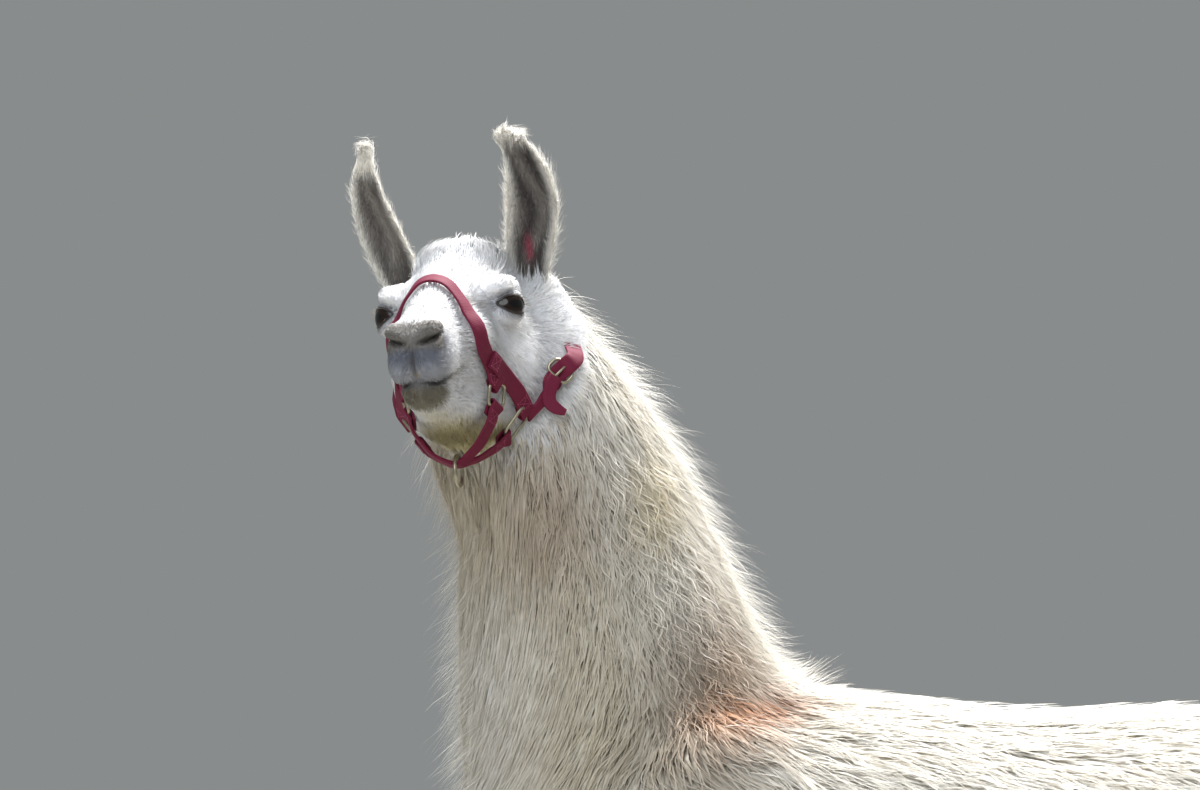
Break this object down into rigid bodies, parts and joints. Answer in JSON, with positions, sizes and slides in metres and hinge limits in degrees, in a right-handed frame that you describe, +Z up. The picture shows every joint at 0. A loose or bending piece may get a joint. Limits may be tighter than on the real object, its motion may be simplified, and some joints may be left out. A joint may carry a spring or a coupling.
{
  "type": "llama with a halter",
  "caption": "Life-size standing white llama with its head turned to its left, wearing a red webbing halter without a lead; a still model.",
  "frame": {"origin": "on the floor under the middle of the model's box", "axes": "the body faces -Y, its left side is +X and +Z is up; the head is turned towards +X"},
  "size_m": [0.5694, 1.391, 1.7129],
  "materials": {
    "wool": "long cream-white wool in wavy locks",
    "short_hair": "short white hair lying flat, grey skin showing at the muzzle",
    "ear_hair": "short hair, grey-brown inside and white at the rims",
    "eye": "wet dark brown",
    "nail": "dark horn",
    "webbing": "woven nylon webbing with sewn joins",
    "hardware": "worn, pale"
  },
  "bodies": {
    "root": {"neck": "wool", "trunk": "wool", "tail": "wool", "fore_left_upper_leg": "wool", "fore_left_lower_leg": "wool", "fore_right_upper_leg": "wool", "fore_right_lower_leg": "wool", "hind_left_upper_leg": "wool", "hind_left_lower_leg": "wool", "hind_right_upper_leg": "wool", "hind_right_lower_leg": "wool", "head": "short_hair", "lower_jaw": "short_hair", "fore_left_foot": "short_hair", "fore_right_foot": "short_hair", "hind_left_foot": "short_hair", "hind_right_foot": "short_hair", "ear_left": "ear_hair", "ear_right": "ear_hair", "eye_left": "eye", "eye_right": "eye", "fore_left_inner_nail": "nail", "fore_left_outer_nail": "nail", "fore_right_inner_nail": "nail", "fore_right_outer_nail": "nail", "hind_left_inner_nail": "nail", "hind_left_outer_nail": "nail", "hind_right_inner_nail": "nail", "hind_right_outer_nail": "nail", "noseband": "webbing", "cheek_strap_left": "webbing", "cheek_strap_right": "webbing", "chin_strap": "webbing", "throat_strap": "webbing", "buckle_billet": "webbing", "crown_strap": "webbing", "strap_tail": "webbing", "keeper_front_left": "hardware", "keeper_front_right": "hardware", "keeper_rear_left": "hardware", "keeper_rear_right": "hardware", "lead_ring": "hardware", "crown_buckle": "hardware"}
  },
  "joints": []
}
